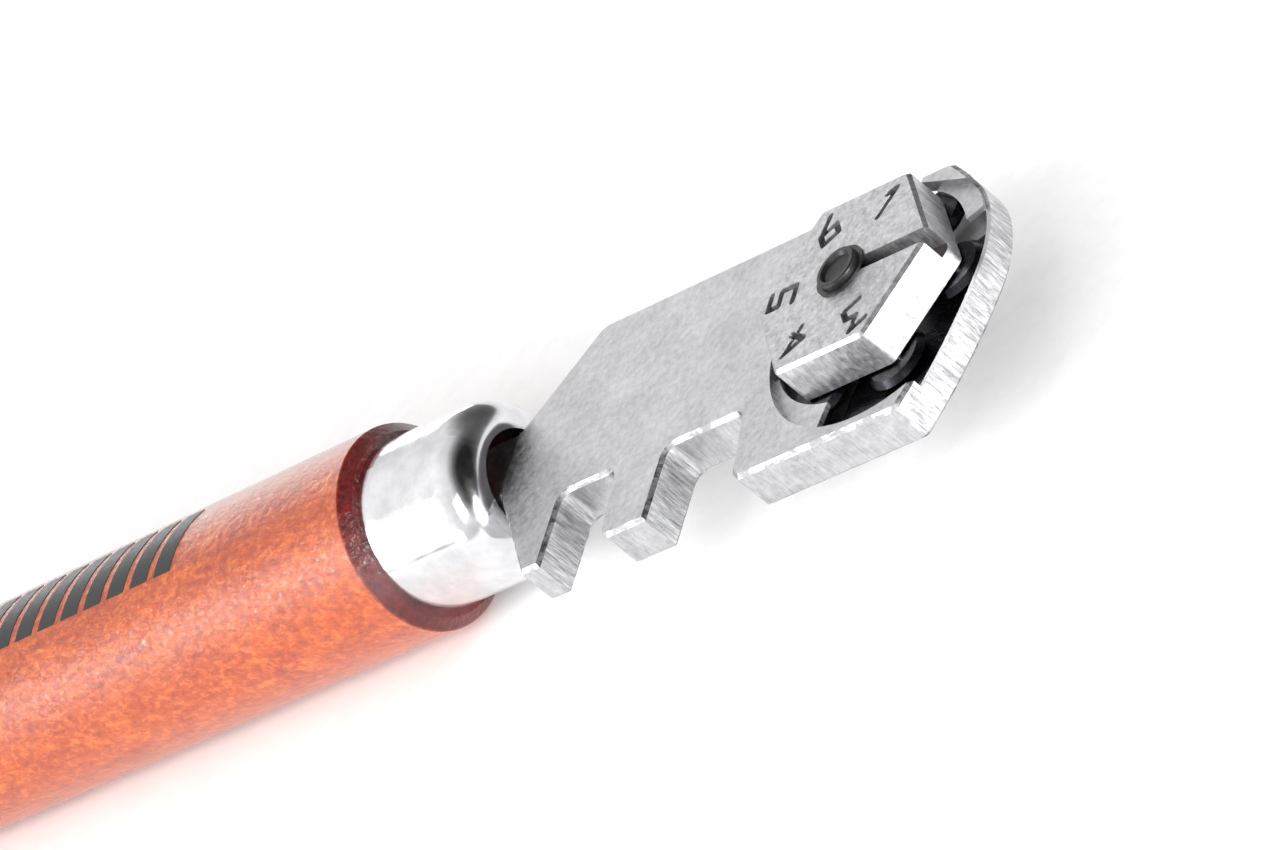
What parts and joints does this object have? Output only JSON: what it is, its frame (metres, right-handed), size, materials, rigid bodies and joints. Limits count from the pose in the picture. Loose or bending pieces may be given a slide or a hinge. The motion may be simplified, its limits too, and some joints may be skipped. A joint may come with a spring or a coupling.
{
  "type": "glass cutter",
  "caption": "Turret glass cutter: turned wooden handle, plated ferrule, notched flat head and a numbered hexagonal turret that turns to bring a fresh cutting wheel to the edge.",
  "frame": {"origin": "on the handle axis at the middle of the grip", "axes": "+X along the handle towards the head, +Y across the flat head away from the breaking notches, +Z square to the flat head on the turret side"},
  "size_m": [0.1291, 0.0191, 0.0136],
  "materials": {
    "lacquered_wood": "glossy orange-red lacquer over figured wood",
    "plated_ferrule": "polished nickel plate",
    "plated_head": "satin nickel plate, finely mottled",
    "plated_turret": "satin nickel plate",
    "black_rivet": "black oxide",
    "black_spring": "blued spring steel",
    "wheel_steel": "ground dark tool steel",
    "pin_steel": "bright steel"
  },
  "bodies": {
    "holder": {"handle": "lacquered_wood", "ferrule": "plated_ferrule", "head_plate": "plated_head", "turret_rivet": "black_rivet", "friction_washer": "black_rivet", "click_spring": "black_spring"},
    "turret": {"turret_body": "plated_turret", "wheel_pin_1": "pin_steel", "wheel_pin_2": "pin_steel", "wheel_pin_3": "pin_steel", "wheel_pin_4": "pin_steel", "wheel_pin_5": "pin_steel", "wheel_pin_6": "pin_steel"},
    "wheel_1": {"cutting_wheel_1": "wheel_steel"},
    "wheel_2": {"cutting_wheel_2": "wheel_steel"},
    "wheel_3": {"cutting_wheel_3": "wheel_steel"},
    "wheel_4": {"cutting_wheel_4": "wheel_steel"},
    "wheel_5": {"cutting_wheel_5": "wheel_steel"},
    "wheel_6": {"cutting_wheel_6": "wheel_steel"}
  },
  "joints": [
    {"name": "turret_turn", "type": "hinge", "parent": "holder", "child": "turret", "pos_m": [0.0801, 0.0009, 0.0034], "axis": [0, 0, 1], "continuous": true},
    {"name": "wheel_spin_1", "type": "hinge", "parent": "turret", "child": "wheel_1", "pos_m": [0.08322, 0.00631, 0.00016], "axis": [0, 0, 1], "continuous": true},
    {"name": "wheel_spin_2", "type": "hinge", "parent": "turret", "child": "wheel_2", "pos_m": [0.08635, 0.0009, 0.00016], "axis": [0, 0, 1], "continuous": true},
    {"name": "wheel_spin_3", "type": "hinge", "parent": "turret", "child": "wheel_3", "pos_m": [0.08322, -0.00451, 0.00016], "axis": [0, 0, 1], "continuous": true},
    {"name": "wheel_spin_4", "type": "hinge", "parent": "turret", "child": "wheel_4", "pos_m": [0.07698, -0.00451, 0.00016], "axis": [0, 0, 1], "continuous": true},
    {"name": "wheel_spin_5", "type": "hinge", "parent": "turret", "child": "wheel_5", "pos_m": [0.07385, 0.0009, 0.00016], "axis": [0, 0, 1], "continuous": true},
    {"name": "wheel_spin_6", "type": "hinge", "parent": "turret", "child": "wheel_6", "pos_m": [0.07698, 0.00631, 0.00016], "axis": [0, 0, 1], "continuous": true}
  ]
}
